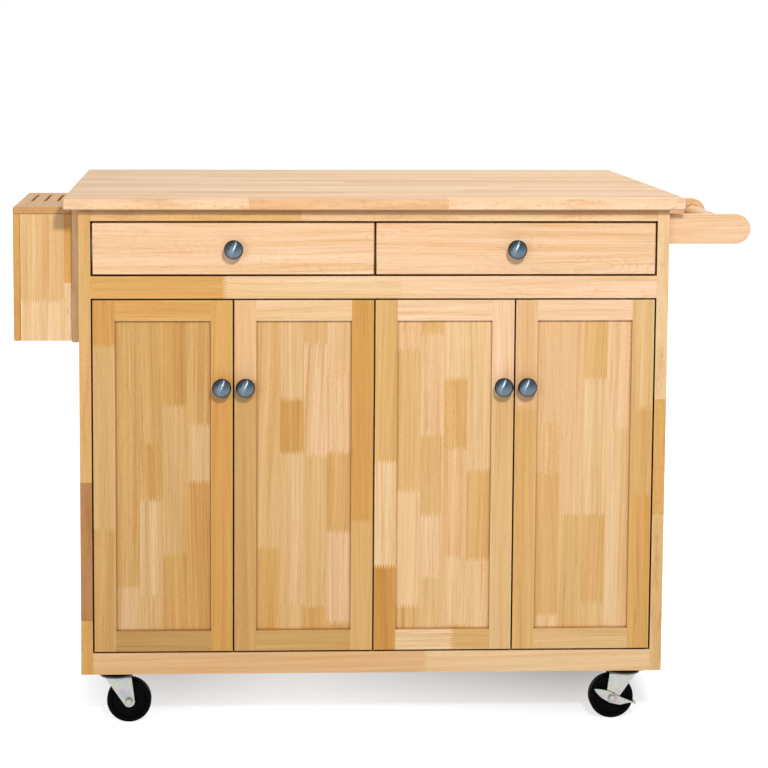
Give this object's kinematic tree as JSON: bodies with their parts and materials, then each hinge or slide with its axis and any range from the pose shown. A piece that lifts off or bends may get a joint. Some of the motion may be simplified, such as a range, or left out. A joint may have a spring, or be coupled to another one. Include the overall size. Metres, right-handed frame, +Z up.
{
  "type": "kitchen island cart",
  "caption": "Wooden kitchen island cart on swivel casters with framed doors over which drawers slide, a drop-leaf top, a side knife block and a towel rack.",
  "frame": {"origin": "floor level under the middle of the whole cart's bounding box", "axes": "+X to the right along the front, +Y from the front to the back, +Z up"},
  "size_m": [1.2466, 0.77, 0.906],
  "materials": {
    "worktop_wood": "clear satin lacquer over rubberwood staves",
    "cabinet_wood": "clear satin lacquer over finger-jointed rubberwood",
    "front_wood": "clear satin lacquer over finger-jointed rubberwood",
    "side_wood": "clear satin lacquer over rubberwood",
    "drawer_wood": "thin clear lacquer",
    "plywood": "plain lacquered plywood",
    "satin_nickel": "satin nickel plate",
    "zinc_steel": "bright zinc plate",
    "black_rubber": "smooth black rubber"
  },
  "bodies": {
    "carcass": {"back_panel": "plywood", "bottom_board": "cabinet_wood", "bottom_rail": "cabinet_wood", "caster_plates": "zinc_steel", "centre_partition": "cabinet_wood", "drawer_runners_fixed": "zinc_steel", "knife_block_case": "side_wood", "knife_block_mount": "side_wood", "knife_block_top": "side_wood", "leaf_hinges_fixed": "zinc_steel", "left_side": "cabinet_wood", "middle_rail": "cabinet_wood", "rear_rails": "cabinet_wood", "right_side": "cabinet_wood", "shelf_pins": "zinc_steel", "shelves": "cabinet_wood", "stay_wall_plates": "zinc_steel", "top_rail": "cabinet_wood", "towel_arms": "side_wood", "towel_bar": "side_wood", "worktop": "worktop_wood"},
    "door_1": {"door_1": "front_wood", "door_1_knob": "satin_nickel", "door_1_pivots": "zinc_steel"},
    "door_2": {"door_2": "front_wood", "door_2_knob": "satin_nickel", "door_2_pivots": "zinc_steel"},
    "door_3": {"door_3": "front_wood", "door_3_knob": "satin_nickel", "door_3_pivots": "zinc_steel"},
    "door_4": {"door_4": "front_wood", "door_4_knob": "satin_nickel", "door_4_pivots": "zinc_steel"},
    "drawer_1": {"drawer_1_front": "front_wood", "drawer_1_box": "drawer_wood", "drawer_1_bottom": "plywood", "drawer_1_knob": "satin_nickel", "drawer_1_runners": "zinc_steel"},
    "drawer_2": {"drawer_2_front": "front_wood", "drawer_2_box": "drawer_wood", "drawer_2_bottom": "plywood", "drawer_2_knob": "satin_nickel", "drawer_2_runners": "zinc_steel"},
    "drop_leaf": {"drop_leaf": "worktop_wood", "leaf_hinges_moving": "zinc_steel", "stay_leaf_plates": "zinc_steel"},
    "stay_lower": {"stay_lower_links": "zinc_steel"},
    "stay_upper": {"stay_upper_links": "zinc_steel"},
    "front_left_fork": {"caster_front_left_fork": "zinc_steel"},
    "front_left_wheel": {"caster_front_left_wheel": "black_rubber"},
    "rear_left_fork": {"caster_rear_left_fork": "zinc_steel"},
    "rear_left_wheel": {"caster_rear_left_wheel": "black_rubber"},
    "front_right_fork": {"caster_front_right_fork": "zinc_steel"},
    "front_right_wheel": {"caster_front_right_wheel": "black_rubber"},
    "front_right_brake": {"caster_front_right_brake": "zinc_steel"},
    "rear_right_fork": {"caster_rear_right_fork": "zinc_steel"},
    "rear_right_wheel": {"caster_rear_right_wheel": "black_rubber"},
    "rear_right_brake": {"caster_rear_right_brake": "zinc_steel"}
  },
  "joints": [
    {"name": "door_1_hinge", "type": "hinge", "parent": "carcass", "child": "door_1", "pos_m": [-0.47495, -0.3525, 0.1318], "axis": [0, 0, -1], "range_deg": [0, 105]},
    {"name": "door_2_hinge", "type": "hinge", "parent": "carcass", "child": "door_2", "pos_m": [-0.02715, -0.3525, 0.1318], "axis": [0, 0, 1], "range_deg": [0, 80]},
    {"name": "door_3_hinge", "type": "hinge", "parent": "carcass", "child": "door_3", "pos_m": [-0.00035, -0.3525, 0.1318], "axis": [0, 0, -1], "range_deg": [0, 80]},
    {"name": "door_4_hinge", "type": "hinge", "parent": "carcass", "child": "door_4", "pos_m": [0.44745, -0.3525, 0.1318], "axis": [0, 0, 1], "range_deg": [0, 105]},
    {"name": "drawer_1_slide", "type": "slide", "parent": "carcass", "child": "drawer_1", "axis": [0, -1, 0], "range_m": [0, 0.28]},
    {"name": "drawer_2_slide", "type": "slide", "parent": "carcass", "child": "drawer_2", "axis": [0, -1, 0], "range_m": [0, 0.28]},
    {"name": "drop_leaf_hinge", "type": "hinge", "parent": "carcass", "child": "drop_leaf", "pos_m": [-0.01375, 0.0805, 0.883], "axis": [1, 0, 0], "range_deg": [-90, 0]},
    {"name": "stay_lower_pivot", "type": "hinge", "parent": "carcass", "child": "stay_lower", "pos_m": [-0.01375, 0.066, 0.772], "axis": [1, 0, 0], "range_deg": [0, 62.76]},
    {"name": "stay_upper_pivot", "type": "hinge", "parent": "drop_leaf", "child": "stay_upper", "pos_m": [-0.01375, 0.2505, 0.869], "axis": [1, 0, 0], "range_deg": [-27.24, 0]},
    {"name": "front_left_swivel", "type": "hinge", "parent": "carcass", "child": "front_left_fork", "pos_m": [-0.45225, -0.318, 0.0812], "axis": [0, 0, 1], "continuous": true},
    {"name": "front_left_roll", "type": "hinge", "parent": "front_left_fork", "child": "front_left_wheel", "pos_m": [-0.43025, -0.318, 0.038], "axis": [0, 1, 0], "continuous": true},
    {"name": "rear_left_swivel", "type": "hinge", "parent": "carcass", "child": "rear_left_fork", "pos_m": [-0.45225, 0.016, 0.0812], "axis": [0, 0, 1], "continuous": true},
    {"name": "rear_left_roll", "type": "hinge", "parent": "rear_left_fork", "child": "rear_left_wheel", "pos_m": [-0.43025, 0.016, 0.038], "axis": [0, 1, 0], "continuous": true},
    {"name": "front_right_swivel", "type": "hinge", "parent": "carcass", "child": "front_right_fork", "pos_m": [0.42475, -0.318, 0.0812], "axis": [0, 0, 1], "continuous": true},
    {"name": "front_right_roll", "type": "hinge", "parent": "front_right_fork", "child": "front_right_wheel", "pos_m": [0.40275, -0.318, 0.038], "axis": [0, 1, 0], "continuous": true},
    {"name": "front_right_brake_rock", "type": "hinge", "parent": "front_right_fork", "child": "front_right_brake", "pos_m": [0.40275, -0.318, 0.038], "axis": [0, 1, 0], "range_deg": [-22, 0]},
    {"name": "rear_right_swivel", "type": "hinge", "parent": "carcass", "child": "rear_right_fork", "pos_m": [0.42475, 0.016, 0.0812], "axis": [0, 0, 1], "continuous": true},
    {"name": "rear_right_roll", "type": "hinge", "parent": "rear_right_fork", "child": "rear_right_wheel", "pos_m": [0.40275, 0.016, 0.038], "axis": [0, 1, 0], "continuous": true},
    {"name": "rear_right_brake_rock", "type": "hinge", "parent": "rear_right_fork", "child": "rear_right_brake", "pos_m": [0.40275, 0.016, 0.038], "axis": [0, 1, 0], "range_deg": [-22, 0]}
  ],
  "couplings": [
    {"joint": "stay_lower_pivot", "follows": "drop_leaf_hinge", "ratio": -0.6973},
    {"joint": "stay_upper_pivot", "follows": "drop_leaf_hinge", "ratio": 0.3027}
  ]
}
